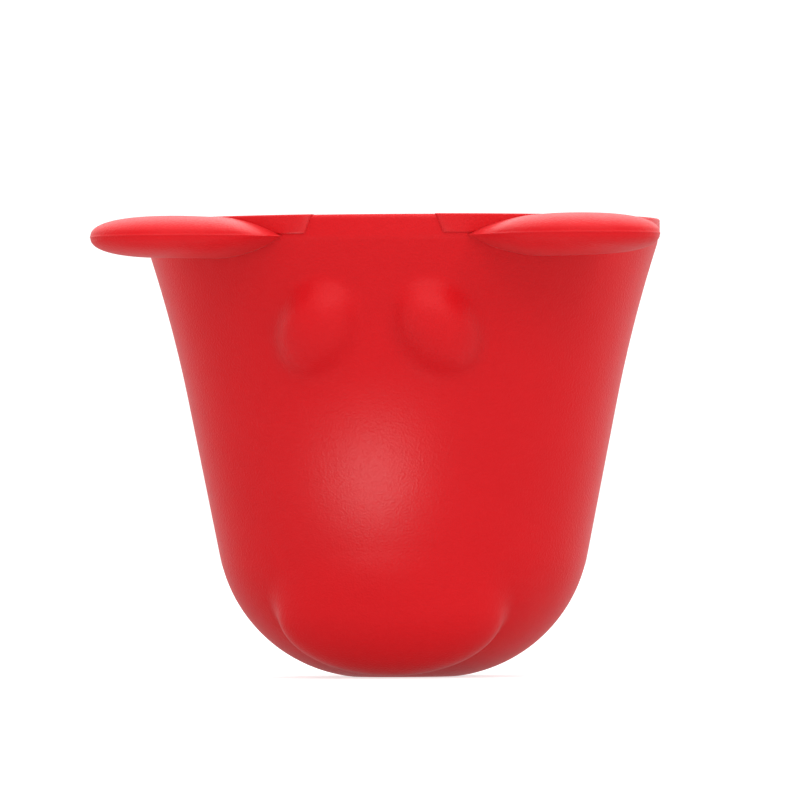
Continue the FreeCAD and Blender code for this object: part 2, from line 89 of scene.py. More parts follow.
def angle(name, description, degrees):
    return FloatProperty(name=name, description=description, default=math.radians(degrees), subtype="ANGLE")


def colour(name, description, default):
    return FloatVectorProperty(name=name, description=description, default=default, subtype="COLOR", size=3)


def amount(name, description, default, high=1.0):
    return FloatProperty(name=name, description=description, default=default, min=0.0, max=high)


def number(name, description, default):
    return FloatProperty(name=name, description=description, default=default)


def count_of(name, description, default):
    return IntProperty(name=name, description=description, default=default)


class CupShape(bpy.types.PropertyGroup):
    """Outline of the cup's wall: a belly arc, a straight run and a flare arc, then the rim."""

    belly_centre_radius: length("Belly centre radius", "Belly arc's centre, out from the axis", 0.0066)
    belly_centre_height: length("Belly centre height", "Belly arc's centre, above the foot", 0.0276)
    belly_arc: length("Belly arc", "Radius of the belly arc", 0.02775)
    flare_centre_radius: length("Flare centre radius", "Flare arc's centre, out from the axis", 0.2827)
    flare_centre_height: length("Flare centre height", "Flare arc's centre, above the foot", 0.0023)
    flare_arc: length("Flare arc", "Radius of the flare arc", 0.248)
    rim_height: length("Rim height", "Height of the rim", SHELL_HIGH.z)
    rim_radius: length("Rim radius", "Outside radius of the rim in front of the face", SHELL_HIGH.x)
    rim_round: length("Rim rounding", "Rounding of the rim's two top edges", 0.0007)
    wall: length("Wall", "Thickness of the cup's wall", 0.0025)
    floor: length("Floor", "Thickness of the cup's floor", 0.0026)
    mouth_radius: length("Mouth radius", "Inside radius of the rim", 0.0446)
    gate_radius: length("Gate radius", "Radius of the moulding gate's dimple under the foot", 0.0023)
    gate_depth: length("Gate depth", "Depth of the moulding gate's dimple", 0.0003)
    columns: count_of("Columns", "Faces round the cup, closest on the face", 380)
    row_step: length("Row step", "Height of one row of faces on the outside", 0.00055)


class FaceShape(bpy.types.PropertyGroup):
    """The eyes and muzzle that swell out of the wall."""

    eye_angle: angle("Eye angle", "Each eye's turn away from the middle of the face", 15.2)
    eye_height: length("Eye height", "Height of the eyes' centres", 0.0635)
    eye_length: length("Eye half length", "Half of an eye's long axis", 0.0083)
    eye_width: length("Eye half width", "Half of an eye's short axis", 0.0060)
    eye_relief: length("Eye relief", "How far an eye stands out of the wall", 0.0046)
    eye_lean: angle("Eye lean", "Lean of the eyes' long axes, outward at the bottom", 39.0)
    eye_blend: length("Eye blend", "Softness of the crease round an eye", 0.0036)
    muzzle_width: length("Muzzle half width", "Half of the muzzle's width", 0.0207)
    muzzle_drop: length("Muzzle drop", "Length of the muzzle below its widest part", 0.0118)
    muzzle_rise: length("Muzzle rise", "Length of the muzzle above its widest part", 0.0133)
    muzzle_depth: length("Muzzle half depth", "Half of the muzzle's depth, square to the wall", 0.0106)
    muzzle_forward: length("Muzzle forward", "The muzzle's centre in front of the axis", 0.0221)
    muzzle_height: length("Muzzle height", "Height of the muzzle's centre", 0.0121)
    muzzle_tilt: angle("Muzzle tilt", "How far the muzzle faces down", 18.3)
    muzzle_crease: length("Muzzle crease", "Softness of the crease under the muzzle", 0.0008)
    muzzle_brow: length("Muzzle brow", "Softness of the muzzle's top edge", 0.0043)
    brow_low: number("Brow start", "Share of its half height where its edge starts to soften", -0.8)
    brow_high: number("Brow end", "Share of its half height where its edge is softest", 1.14)


class CollarShape(bpy.types.PropertyGroup):
    """The low proud band round the rim, open in front of the face."""

    outer_radius: length("Outer radius", "Outside radius of the band", COLLAR_HIGH.x)
    inner_radius: length("Inner radius", "Inside radius of the band", 0.0459)
    low: length("Lower edge", "Height of the band's lower edge", 0.0805)
    top_proud: length("Top step", "How far the band's top stands above the rim", 0.00006)
    edge_round: length("Edge rounding", "Rounding of the band's edges", 0.00035)
    end_low: angle("End at the bottom", "Turn from the face's middle to the lower edge's end", 15.4)
    end_high: angle("End at the top", "Turn from the face's middle to the top edge's end", 13.8)
    columns: count_of("Columns", "Faces along the band", 240)


class EarShape(bpy.types.PropertyGroup):
    """One ear: a flat pad with straight sides and a round end, domed above and below."""

    turn: angle("Turn", "Each ear's turn away from the middle of the face", 39.6)
    level: length("Level", "Height of the ears' middle plane", EAR_HINGES["left"].z)
    centre: length("Centre", "Centre of an ear's round end, out from the cup's axis", 0.0579)
    radius: length("Radius", "Radius of an ear's round end", 0.0146)
    root_width: length("Root half width", "Half of an ear's width where it meets the cup", 0.0150)
    thickness: length("Half thickness", "Half of an ear's thickness", 0.00378)
    root_radius: length("Root radius", "How near to the cup's axis an ear's root goes", 0.0464)
    fullness: number("Fullness", "Section at the tip: 2 is oval, more is fuller", 2.45)
    root_fullness: number("Root fullness", "Fullness of its section at the root", 2.0)
    root_wedge: number("Root wedge", "How thinly its root tapers to the edges", 0.92)
    seam_height: length("Seam height", "How far the moulding seam stands out of the ear's edge", 0.00010)
    seam_width: length("Seam width", "Half of the moulding seam's width", 0.00016)
    bend: length("Bend", "Length of root over which an ear bends", 0.0095)


class BrushShape(bpy.types.PropertyGroup):
    """The sleeve, the rings of bristles and the floor pad."""

    gap: length("Gap", "Clearance between the sleeve and the cup", 0.0003)
    sleeve: length("Sleeve", "Thickness of the sleeve's wall", 0.0013)
    lip: length("Lip", "Thickness of the lip at the sleeve's mouth", 0.0026)
    lip_height: length("Lip height", "Height of the lip at the sleeve's mouth", 0.0024)
    lip_round: length("Lip rounding", "Rounding of the lip's edges", 0.0006)
    drain_radius: length("Drain radius", "Radius of the holes in the floor", 0.002)
    drain_circle: length("Drain circle", "Radius of the circle that the holes lie on", 0.012)
    drains: count_of("Drains", "Number of holes in the floor", 6)
    ring_gap: length("Ring gap", "Clearance between a ring and the sleeve", 0.0001)
    backing: length("Backing", "Thickness of a ring's backing band", 0.001)
    rows: count_of("Rows", "Rows of bristles on a ring", 2)
    spacing: length("Spacing", "Distance between bristles round a ring", 0.0086)
    bristle_length: length("Bristle length", "How far a bristle reaches in from its backing", 0.012)
    bristle_root: length("Bristle root", "Radius of a bristle at its root", 0.00135)
    bristle_tip: length("Bristle tip", "Radius of a bristle near its tip", 0.0007)
    root_flare: length("Root flare", "How much wider a bristle's root spreads into its backing", 0.0006)
    flare_reach: length("Flare reach", "Length of that spread", 0.0007)
    droop: length("Droop", "How far a bristle's tip sags", 0.00035)
    stray: length("Stray", "How far a bristle's tip strays from true", 0.0006)
    pad: length("Pad", "Thickness of the floor pad", 0.0012)
    nub_root: length("Nub root", "Radius of a nub at its root", 0.0013)
    nub_tip: length("Nub tip", "Radius of a nub near its tip", 0.0008)
    nub_circle: length("Nub circle", "Radius of the circle that the nubs stand on", 0.0076)


class SiliconeLook(bpy.types.PropertyGroup):
    """Colours and surface of the moulded silicone."""

    shell: colour("Shell", "Colour of the cup, collar and ears", (0.640, 0.006, 0.010))
    sleeve: colour("Sleeve", "Colour of the brush sleeve", (0.560, 0.008, 0.013))
    bristle: colour("Bristle", "Colour of the bristles and nubs", (0.500, 0.006, 0.011))
    # Pale colour painted on raised edges: a painted edge highlight standing in for their grazing light
    painted_edge_highlight: colour("Painted highlight", "Colour of the pale film on highlighted edges", (0.780, 0.120, 0.120))
    roughness: amount("Roughness", "Roughness of the moulded surface", 0.44)
    grain: length("Grain", "Size of the mould's fine grain", 0.00042)
    grain_depth: length("Grain depth", "Depth of the fine grain", 0.00008)
    ripple: length("Ripple", "Size of the soft unevenness of the wall", 0.016)
    ripple_depth: length("Ripple depth", "Depth of that unevenness", 0.00012)
    sheen: amount("Sheen", "Soft pale sheen at grazing angles", 0.05)


class StageLook(bpy.types.PropertyGroup):
    """Floor, lights and camera."""

    distance: length("Distance", "Camera's distance from the cup's axis", 1.9)
    camera_height: length("Camera height", "Height of the camera", 0.030)
    aim_height: length("Aim height", "Height on the cup's axis that the camera looks at", 0.0509)
    azimuth: angle("Azimuth", "Camera's turn round the cup from the middle of its face", 6.4)
    view_width: length("View width", "Width of the view at the cup's axis", 0.1474)
    shift: number("Shift", "Camera's shift along its view's width", -0.0044)
    roll: angle("Roll", "Camera's lean about its line of sight", 0.3)
    room_low: amount("Room", "How bright the room's walls look in the silicone's gloss", 0.12, 10.0)
    room_behind: amount("Room behind", "How bright the room behind the cup looks in its gloss", 0.4, 10.0)
    room_high: amount("Room overhead", "How bright the room overhead looks in the gloss", 2.2, 10.0)
    fill: amount("Fill", "Even soft light from all round", 0.66, 10.0)
    ceiling: amount("Ceiling light", "Strength of the wide soft light from above", 0.3, 100.0)
    front_light: amount("Front light", "Power of the softbox in front, in watts", 3.2, 1000.0)
    side_light: amount("Side light", "Power of the softbox on the right, in watts", 1.6, 1000.0)
    low_card: amount("Low card", "Power of the small card low in front, in watts", 0.0036, 10.0)
    table_glow: amount("Table glow", "Light that the lit table gives off", 0.30, 10.0)
    table_white: amount("Table white", "How much whiter the table looks than it lights", 0.40, 10.0)
    floor: colour("Floor", "Colour of the floor", (0.5, 0.5, 0.5))


SETTINGS = {
    "paw_cup": CupShape,
    "paw_face": FaceShape,
    "paw_collar": CollarShape,
    "paw_ear": EarShape,
    "paw_brush": BrushShape,
    "paw_silicone": SiliconeLook,
    "paw_stage": StageLook,
}


# Meshes

CRISP_TURN = 50
INSIDE_STEP = 1.6 * MM


def new_piece(name, points, faces):
    """A smooth-shaded mesh object with those corner points and faces."""
    mesh = bpy.data.meshes.new(name)
    mesh.from_pydata([tuple(p) for p in points], [], faces)
    mesh.update()
    mesh.polygons.foreach_set("use_smooth", [True] * len(mesh.polygons))
    piece = bpy.data.objects.new(name, mesh)
    bpy.context.scene.collection.objects.link(piece)
    return piece


def grid_faces(rows, columns, wrap=True):
    """Faces of a grid of points, row after row. With wrap, each row closes on itself."""
    faces = []
    for row in range(rows - 1):
        near, far = row * columns, (row + 1) * columns
        for column in range(columns if wrap else columns - 1):
            after = (column + 1) % columns
            faces.append((near + column, near + after, far + after, far + column))
    return faces


def weld(piece, distance=1e-6):
    """Merges points that lie on each other, closes open ends and faces the surface outward."""
    mesh = bmesh.new()
    mesh.from_mesh(piece.data)
    bmesh.ops.remove_doubles(mesh, verts=mesh.verts, dist=distance)
    open_edges = [edge for edge in mesh.edges if edge.is_boundary]
    if open_edges:
        bmesh.ops.holes_fill(mesh, edges=open_edges, sides=0)
    bmesh.ops.recalc_face_normals(mesh, faces=mesh.faces)
    mesh.to_mesh(piece.data)
    mesh.free()


def join(name, pieces):
    """One piece made of several, under a new name."""
    mesh = bmesh.new()
    for piece in pieces:
        mesh.from_mesh(piece.data)
        old = piece.data
        bpy.data.objects.remove(piece)
        bpy.data.meshes.remove(old)
    joined = bpy.data.meshes.new(name)
    mesh.to_mesh(joined)
    mesh.free()
    joined.polygons.foreach_set("use_smooth", [True] * len(joined.polygons))
    whole = bpy.data.objects.new(name, joined)
    bpy.context.scene.collection.objects.link(whole)
    return whole


def bake_modifiers(piece):
    """Makes what the piece's modifiers show into its own mesh."""
    depsgraph = bpy.context.evaluated_depsgraph_get()
    baked = bpy.data.meshes.new_from_object(piece.evaluated_get(depsgraph))
    piece.modifiers.clear()
    piece.data = baked


def points_round(radii, heights, turns):
    """Rows of points round the Z axis. radii and heights are columns, and a turn of 0 faces -Y."""
    points = np.empty((len(radii), turns.shape[-1], 3))
    points[:, :, 0] = radii * np.sin(turns)
    points[:, :, 1] = -radii * np.cos(turns)
    points[:, :, 2] = heights
    return points


def spin(name, section, columns, closed=False):
    """A surface of revolution about the Z axis. section is (radius, height) points in order."""
    section = np.array(section, float)
    points = points_round(section[:, :1], section[:, 1:2], np.arange(columns) * (2 * math.pi / columns))
    faces = grid_faces(len(section), columns)
    if closed:
        last = (len(section) - 1) * columns
        faces += [(last + c, last + (c + 1) % columns, (c + 1) % columns, c) for c in range(columns)]
    piece = new_piece(name, points.reshape(-1, 3), faces)
    weld(piece)
    return piece


def quarter(centre, radius, start, end, steps=5):
    """Points of an arc in the (radius, height) plane, with angles in degrees."""
    angles = np.radians(np.linspace(start, end, steps + 1))
    return [(centre[0] + radius * math.cos(a), centre[1] + radius * math.sin(a)) for a in angles]


def sharpen(piece):
    """Keeps the piece's sharper edges crisp in the shading."""
    piece.data.set_sharp_from_angle(angle=math.radians(CRISP_TURN))


# The wall's outline


class Outline:
    """The cup's outline in the (radius, height) plane, inset from the outside."""

    def __init__(self, cup, inset=0.0):
        self.belly = np.array([cup.belly_centre_radius, cup.belly_centre_height])
        self.flare = np.array([cup.flare_centre_radius, cup.flare_centre_height])
        across, up = self.flare - self.belly
        tangent = math.acos((cup.belly_arc + cup.flare_arc) / math.hypot(across, up))
        turn = math.atan2(up, across) - tangent
        self.wall_normal = np.array([math.cos(turn), math.sin(turn)])
        self.belly_arc, self.flare_arc = cup.belly_arc - inset, cup.flare_arc + inset
        self.low = self.belly + self.belly_arc * self.wall_normal
        self.high = self.flare - self.flare_arc * self.wall_normal

    def radius(self, height):
        """Distance from the axis to the outline at a height."""
        if height < self.low[1]:
            return self.belly[0] + math.sqrt(self.belly_arc**2 - (height - self.belly[1]) ** 2)
        if height < self.high[1]:
            share = (height - self.low[1]) / (self.high[1] - self.low[1])
            return self.low[0] + share * (self.high[0] - self.low[0])
        return self.flare[0] - math.sqrt(self.flare_arc**2 - (height - self.flare[1]) ** 2)

    def normal(self, height):
        """Unit normal (radius, height), pointing away from the cup's inside."""
        point = np.array([self.radius(height), height])
        if height < self.low[1]:
            return (point - self.belly) / self.belly_arc
        if height < self.high[1]:
            return self.wall_normal
        return (self.flare - point) / self.flare_arc

    def run(self, bottom, top, step):
        """Heights from bottom to top, spaced evenly along the outline."""
        fine = np.linspace(bottom, top, 2000)
        radii = np.array([self.radius(h) for h in fine])
        travelled = np.concatenate([[0], np.cumsum(np.hypot(np.diff(fine), np.diff(radii)))])
        count = max(2, round(travelled[-1] / step))
        return np.interp(np.linspace(0, travelled[-1], count + 1), travelled, fine)


def front_angles(columns):
    """Turns from the middle of the face, right round the cup and closest together on the face."""
    even, crowded = 0.42, 0.58
    share = np.linspace(-1, 1, columns, endpoint=False)
    return math.pi * (even * share + crowded * share**3)


def ellipsoid_distance(points, centre, axes, sizes):
    """Nearly the distance from each point to an ellipsoid, negative inside it."""
    local = (points - centre) @ axes.T
    whole = np.linalg.norm(local / sizes, axis=-1)
    slope = np.linalg.norm(local / sizes**2, axis=-1)
    return whole * (whole - 1) / np.maximum(slope, TINY)


def soft_union(a, b, blend):
    """The nearer of two distances, rounded off where they are close."""
    share = np.clip(0.5 + 0.5 * (a - b) / blend, 0, 1)
    return a + (b - a) * share - blend * share * (1 - share)


def smooth_step(low, high, values):
    """From 0 at low to 1 at high, level at both ends."""
    share = np.clip((values - low) / (high - low), 0, 1)
    return share * share * (3 - 2 * share)


def eye_ellipsoid(face, outline, sign):
    """Centre, axes (as rows) and half sizes of one eye."""
    normal = outline.normal(face.eye_height)
    around, lean = sign * face.eye_angle, face.eye_lean
    out = np.array([math.sin(around), -math.cos(around), 0])
    aside = sign * np.array([math.cos(around), math.sin(around), 0])
    up = np.array([0, 0, 1])
    facing = out * normal[0] + up * normal[1]
    climb = up * normal[0] - out * normal[1]
    long_axis = climb * math.cos(lean) - aside * math.sin(lean)
    centre = out * outline.radius(face.eye_height) + up * face.eye_height
    axes = np.array([long_axis, np.cross(facing, long_axis), facing])
    return centre, axes, np.array([face.eye_length, face.eye_width, face.eye_relief])


def muzzle_ellipsoid(face):
    """Centre, axes (as rows) and half sizes of the muzzle, below its widest part."""
    tilt = face.muzzle_tilt
    facing = np.array([0, -math.cos(tilt), -math.sin(tilt)])
    climb = np.array([0, -math.sin(tilt), math.cos(tilt)])
    axes = np.array([[1, 0, 0], facing, climb])
    centre = np.array([0, -face.muzzle_forward, face.muzzle_height])
    return centre, axes, np.array([face.muzzle_width, face.muzzle_depth, face.muzzle_drop])


# How far out from the wall a feature is looked for, in how many steps, and how often the last step is halved
MOST_RELIEF = 0.014
RELIEF_LEVELS = 57
RELIEF_HALVINGS = 24


def raise_face(points, normals, face, outline):
    """Moves points of the plain wall out along their normals, on to the eyes and the muzzle.

    The muzzle is shorter or longer above its widest part, and its edge softens from crease to brow.
    """
    shapes = [(*eye_ellipsoid(face, outline, sign), None) for sign in SIDES.values()]
    shapes.append((*muzzle_ellipsoid(face), "muzzle"))

    def distance(lift):
        moved = points + normals * lift[:, None]
        nearest = lift
        for centre, axes, sizes, kind in shapes:
            blend = face.eye_blend
            if kind == "muzzle":
                climb = (moved - centre) @ axes[2]
                tall = np.where(climb > 0, face.muzzle_rise, sizes[2])
                sizes = np.stack([np.full_like(tall, sizes[0]), np.full_like(tall, sizes[1]), tall], axis=1)
                soft = smooth_step(face.brow_low, face.brow_high, climb / tall)
                blend = face.muzzle_crease + (face.muzzle_brow - face.muzzle_crease) * soft
            nearest = soft_union(nearest, ellipsoid_distance(moved, centre, axes, sizes), blend)
        return nearest

    levels = np.linspace(0, MOST_RELIEF, RELIEF_LEVELS)
    low, high = np.zeros(len(points)), np.full(len(points), levels[1])
    for inner, outer in zip(levels[:-1], levels[1:]):
        covered = distance(np.full(len(points), inner)) < 0
        low[covered], high[covered] = inner, outer
    for _ in range(RELIEF_HALVINGS):
        middle = (low + high) / 2
        covered = distance(middle) < 0
        low, high = np.where(covered, middle, low), np.where(covered, high, middle)
    return points + normals * low[:, None]


def cup_wall_rows(cup):
    """(radius, height, normal radius, normal height) of the outside wall, foot to rim."""
    outline = Outline(cup)
    trim = cup.rim_height - cup.rim_round
    rows = []
    for height in outline.run(0.0, trim, cup.row_step):
        radius = outline.radius(height)
        if radius < cup.rim_radius:
            rows.append((radius, height, *outline.normal(height)))
        else:
            rows.append((cup.rim_radius, height, 1.0, 0.0))
    return np.array(rows)


def rim_and_inside(cup):
    """(radius, height) points from the rim's outer edge over the top and down to the floor's middle."""
    top, round_off, inside = cup.rim_height, cup.rim_round, Outline(cup, cup.wall)
    rim = quarter((cup.rim_radius - round_off, top - round_off), round_off, 0, 90)
    rim += quarter((cup.mouth_radius + round_off, top - round_off), round_off, 90, 180)
    heights = inside.run(cup.floor, top - 4 * MM, INSIDE_STEP)[::-1]
    wall = [(inside.radius(h), h) for h in heights if inside.radius(h) < cup.mouth_radius]
    return rim[1:] + wall + [(inside.radius(cup.floor) * share, cup.floor) for share in (0.6, 0.3, 0.0)]


def foot_rows(cup):
    """(radius, height) points of the foot from its middle out, with the gate's dimple."""
    edge = Outline(cup).radius(0.0)
    radius, depth = cup.gate_radius, cup.gate_depth
    dimple = [(0.0, depth), (radius * 0.8, depth), (radius, depth * 0.4), (radius * 1.15, 0.0)]
    return dimple + [(edge * 0.6, 0.0), (edge * 0.97, 0.0)]


def build_cup(cup, face):
    """The whole cup as one skin: foot, outside wall with the face, rim, inside wall and floor."""
    turns, wall = front_angles(cup.columns), cup_wall_rows(cup)
    plain = points_round(wall[:, :1], wall[:, 1:2], turns).reshape(-1, 3)
    normals = points_round(wall[:, 2:3], wall[:, 3:], turns).reshape(-1, 3)
    outside = raise_face(plain, normals, face, Outline(cup)).reshape(len(wall), cup.columns, 3)
    foot, inside = np.array(foot_rows(cup)), np.array(rim_and_inside(cup))
    rounds = [points_round(rows[:, :1], rows[:, 1:], turns) for rows in (foot, inside)]
    points = np.concatenate([rounds[0], outside, rounds[1]])
    piece = new_piece("cup", points.reshape(-1, 3), grid_faces(len(points), cup.columns))
    weld(piece)
    return piece


# The collar and the ears


def collar_section(collar, top):
    """Rounded box (radius, height) of the band, all the way round."""
    r, low, high = collar.edge_round, collar.low, top + collar.top_proud
    outer, inner = collar.outer_radius, collar.inner_radius
    small = collar.top_proud * 0.9
    section = quarter((outer - r, low + r), r, -90, 0)
    section += quarter((outer - r, high - r), r, 0, 90)
    section += quarter((inner + small, high - small), small, 90, 180, 2)
    return section + [(inner, low)]


def build_collar(collar, top):
    """The band, swept round the rim from one slanted end to the other."""
    section = np.array(collar_section(collar, top))
    ends = np.array([0, 0.12, 0.45, 1.0]) * collar.edge_round / (2 * math.pi * collar.outer_radius)
    middle_share = np.linspace(ends[-1], 1 - ends[-1], collar.columns - 2 * (len(ends) - 1))
    share = np.concatenate([ends[:-1], middle_share, 1 - ends[-2::-1]])
    climb = (section[:, 1] - collar.low) / (top - collar.low)
    end = collar.end_low + (collar.end_high - collar.end_low) * climb
    turns = end[:, None] + (2 * math.pi - 2 * end[:, None]) * share[None]
    middle = np.array([collar.outer_radius - 1.5 * collar.edge_round, (collar.low + top) / 2])
    arc_from_end = np.minimum(share, 1 - share) * 2 * math.pi * collar.outer_radius
    full = np.sqrt(np.clip(arc_from_end / collar.edge_round, 0, 1))
    shrink = 1 - (1 - full) * collar.edge_round / (collar.outer_radius - middle[0])
    radii = middle[0] + (section[:, :1] - middle[0]) * np.where(section[:, :1] > middle[0], shrink, 1)
    points = points_round(radii, section[:, 1:2], turns)
    faces = grid_faces(len(section), collar.columns, wrap=False)
    last = (len(section) - 1) * collar.columns
    faces += [(last + c, last + c + 1, c + 1, c) for c in range(collar.columns - 1)]
    piece = new_piece("rim_collar_band", points.reshape(-1, 3), faces)
    weld(piece)
    sharpen(piece)
    return piece


def ear_profile(fullness, wedge):
    """An ear's section, from the middle of its top to its edge and back to the middle underneath.

    Each point is (share of the half width, share of the half thickness).
    """
    shares = np.concatenate([np.linspace(0, 0.86, 17), np.linspace(0.88, 0.985, 9), np.linspace(0.99, 1, 5)])
    angles = shares * math.pi / 2
    above = np.stack([np.sin(angles) ** (2 / fullness), np.cos(angles).clip(0) ** (2 * wedge)], axis=1)
    below = above[-2::-1] * [1, -1]
    return np.concatenate([above, below])


def ear_lines():
    """Lines from an ear's spine out to its edge, from one side of the root round to the other.

    Each is ("side", its side, share of the way along the spine) or ("end", its turn, 1).
    """
    straight = np.linspace(0, 1, 26, endpoint=False)
    lines = [("side", -1, share) for share in straight]
    lines += [("end", math.radians(turn), 1.0) for turn in np.linspace(-90, 90, 61)]
    return lines + [("side", 1, share) for share in straight[::-1]]


def ear_point(ear, line, width_share):
    """(across, out) of the point at a share of the way from an ear's spine to its edge."""
    kind, side, share = line
    if kind == "end":
        reach = ear.radius * width_share
        return reach * math.sin(side), ear.centre + reach * math.cos(side)
    width = ear.root_width + (ear.radius - ear.root_width) * smooth_step(0, 1, share)
    across = side * width * width_share
    root = math.sqrt(ear.root_radius**2 - across**2)
    return across, root + (ear.centre - root) * share


def ear_frame(ear, sign):
    """Unit vectors across an ear and out along it."""
    turn = sign * ear.turn
    out = Vector((math.sin(turn), -math.cos(turn), 0))
    return Vector((-out.y, out.x, 0)), out


def build_ear(ear, side):
    """One ear with a fine moulding seam round its edge, and its root closed off inside the rim."""
    across_axis, out_axis = ear_frame(ear, SIDES[side])
    lines, points = ear_lines(), []
    for line in lines:
        grown = smooth_step(0, 1, line[2])
        fullness = ear.root_fullness + (ear.fullness - ear.root_fullness) * grown
        profile = ear_profile(fullness, ear.root_wedge + (1 / ear.fullness - ear.root_wedge) * grown)
        for width_share, thickness_share in profile:
            height = thickness_share * ear.thickness
            seam = ear.seam_height * math.exp(-((height / ear.seam_width) ** 2))
            across, out = ear_point(ear, line, width_share + seam / ear.radius)
            points.append(across_axis * across + out_axis * out + Vector((0, 0, ear.level + height)))
    across_count, edge = len(profile), len(profile) // 2
    faces = grid_faces(len(lines), across_count, wrap=False)
    for first in (0, (len(lines) - 1) * across_count):
        for step in range(edge):
            above, under = first + step, first + across_count - 1 - step
            faces.append(tuple(dict.fromkeys((above, above + 1, under - 1, under))))
    piece = new_piece(f"{side}_ear_pad", points, faces)
    weld(piece)
    return piece


# The brush

SLEEVE_STEP = 1.5 * MM
SLEEVE_COLUMNS = 192
BAND_COLUMNS = 144
PAD_COLUMNS = 128
DRAIN_COLUMNS = 32
BRISTLE_SIDES = 12


def build_sleeve(cup, brush):
    """The thin sleeve with its thick lip and a floor with drain holes."""
    outer = Outline(cup, cup.wall + brush.gap)
    inner = Outline(cup, cup.wall + brush.gap + brush.sleeve)
    top, low, floor, soft = SLEEVE_HIGH.z, SLEEVE_LOW.z, PAD_LOW.z, brush.lip_round
    lip_inside = outer.radius(top) - brush.lip
    section = [(outer.radius(low) * share, low) for share in (0.0, 0.5, 0.95)]
    section += [(outer.radius(h), h) for h in outer.run(low, top - soft, SLEEVE_STEP)]
    section += quarter((outer.radius(top) - soft, top - soft), soft, 0, 90, 4)[1:]
    section += quarter((lip_inside + soft, top - soft), soft, 90, 180, 4)
    underside = top - brush.lip_height
    section += quarter((lip_inside + soft, underside + soft), soft, 180, 270, 4)
    section += [(inner.radius(h), h) for h in inner.run(floor, underside, SLEEVE_STEP)[::-1]]
    section += [(inner.radius(floor) * share, floor) for share in (0.9, 0.5, 0.0)]
    piece = spin("brush_sleeve_wall", section, SLEEVE_COLUMNS)
    cut_drains(piece, brush, low - MM, floor + MM)
    sharpen(piece)
    return piece


def circle_spots(count, radius):
    """Points spaced evenly on a circle round the axis."""
    turns = [2 * math.pi * i / count for i in range(count)]
    return [Vector((math.cos(turn), math.sin(turn), 0)) * radius for turn in turns]


def cut_drains(piece, brush, low, high):
    """Cuts the floor's round holes through a piece."""
    section = [(0.0, low), (brush.drain_radius, low), (brush.drain_radius, high), (0.0, high)]
    cutters = []
    for i, centre in enumerate(circle_spots(brush.drains, brush.drain_circle)):
        rod = spin(f"drain_{i}", section, DRAIN_COLUMNS)
        rod.data.transform(Matrix.Translation(centre))
        cutters.append(rod)
    cutter = join("drain_cutter", cutters)
    holes = piece.modifiers.new("Drains", "BOOLEAN")
    holes.operation = "DIFFERENCE"
    holes.solver = "EXACT"
    holes.object = cutter
    bake_modifiers(piece)
    weld(piece, 0.01 * MM)
    bpy.data.objects.remove(cutter)


def bristle_rings(brush, reach, root, tip):
    """Rings of one straight bristle along +X from its root: (distance, radius) pairs."""
    foot_end, tip_start, body_rings = 1.4, 1.2, 7
    foot = [0, 0.15, 0.35, 0.6, 0.9]
    rings = []
    for d in np.concatenate([foot, np.linspace(foot_end, reach / MM - tip_start, body_rings)]) * MM:
        flare = brush.root_flare * math.exp(-((d / brush.flare_reach) ** 1.5))
        rings.append((d, root + (tip - root) * d / reach + flare))
    end_radius = root + (tip - root) * (reach - tip) / reach
    for turn in np.radians([15, 35, 55, 75, 90]):
        rings.append((reach - end_radius + end_radius * math.sin(turn), end_radius * math.cos(turn)))
    return rings


def add_bristle(points, faces, brush, reach, root, tip, place, bend):
    """Adds one bristle to the lists. place maps its own frame to the row frame; bend moves its tip."""
    rings = bristle_rings(brush, reach, root, tip)
    start = len(points)
    for distance, radius in rings:
        sag = bend * (distance / reach) ** 2
        for i in range(BRISTLE_SIDES):
            turn = 2 * math.pi * i / BRISTLE_SIDES
            own = Vector((distance, radius * math.cos(turn) + sag.y, radius * math.sin(turn) + sag.z))
            points.append(place @ own)
    faces += [tuple(start + i for i in face) for face in grid_faces(len(rings), BRISTLE_SIDES)]


def ring_number(name):
    """The number at the end of a ring's name."""
    return int(name.rsplit("_", 1)[1])


def build_bristle_ring(cup, brush, node):
    """One backing band with its rows of bristles, each a little out of true."""
    low, high = (corner.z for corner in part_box(node))
    rng = random.Random(ring_number(node))
    depth = cup.wall + brush.gap + brush.sleeve + brush.ring_gap
    outer, inner = Outline(cup, depth), Outline(cup, depth + brush.backing)
    soft = 0.3 * MM
    levels = np.linspace(low, high, 7)
    section = [(outer.radius(h), h) for h in levels]
    section += [(inner.radius(high) + soft, high), (inner.radius(high - soft), high - soft)]
    section += [(inner.radius(h), h) for h in levels[-2:0:-1]]
    section += [(inner.radius(low + soft), low + soft), (inner.radius(low) + soft, low)]
    band = spin("band", section, BAND_COLUMNS, closed=True)
    height = high - low
    count = round(2 * math.pi * inner.radius((low + high) / 2) / brush.spacing)
    points, faces = [], []
    for row in range(brush.rows):
        level = low + height * (row + 0.5) / brush.rows
        start = (row + 1 + ring_number(node) % 2 / 2) * math.pi / count
        for i in range(count):
            turn = start + 2 * math.pi * i / count
            root = Matrix.Translation((inner.radius(level) + brush.backing / 4, 0, level))
            inward = Matrix.Rotation(turn, 4, "Z") @ root @ Matrix.Rotation(math.pi, 4, "Z")
            aside, up = rng.uniform(-1, 1) * brush.stray, rng.uniform(-0.6, 0.6) * brush.stray
            bend = Vector((0, aside, up - brush.droop))
            reach = brush.bristle_length + brush.backing / 4
            add_bristle(points, faces, brush, reach, brush.bristle_root, brush.bristle_tip, inward, bend)
    bristles = new_piece("bristles", points, faces)
    weld(bristles)
    return join(f"{node}_soft", [band, bristles])


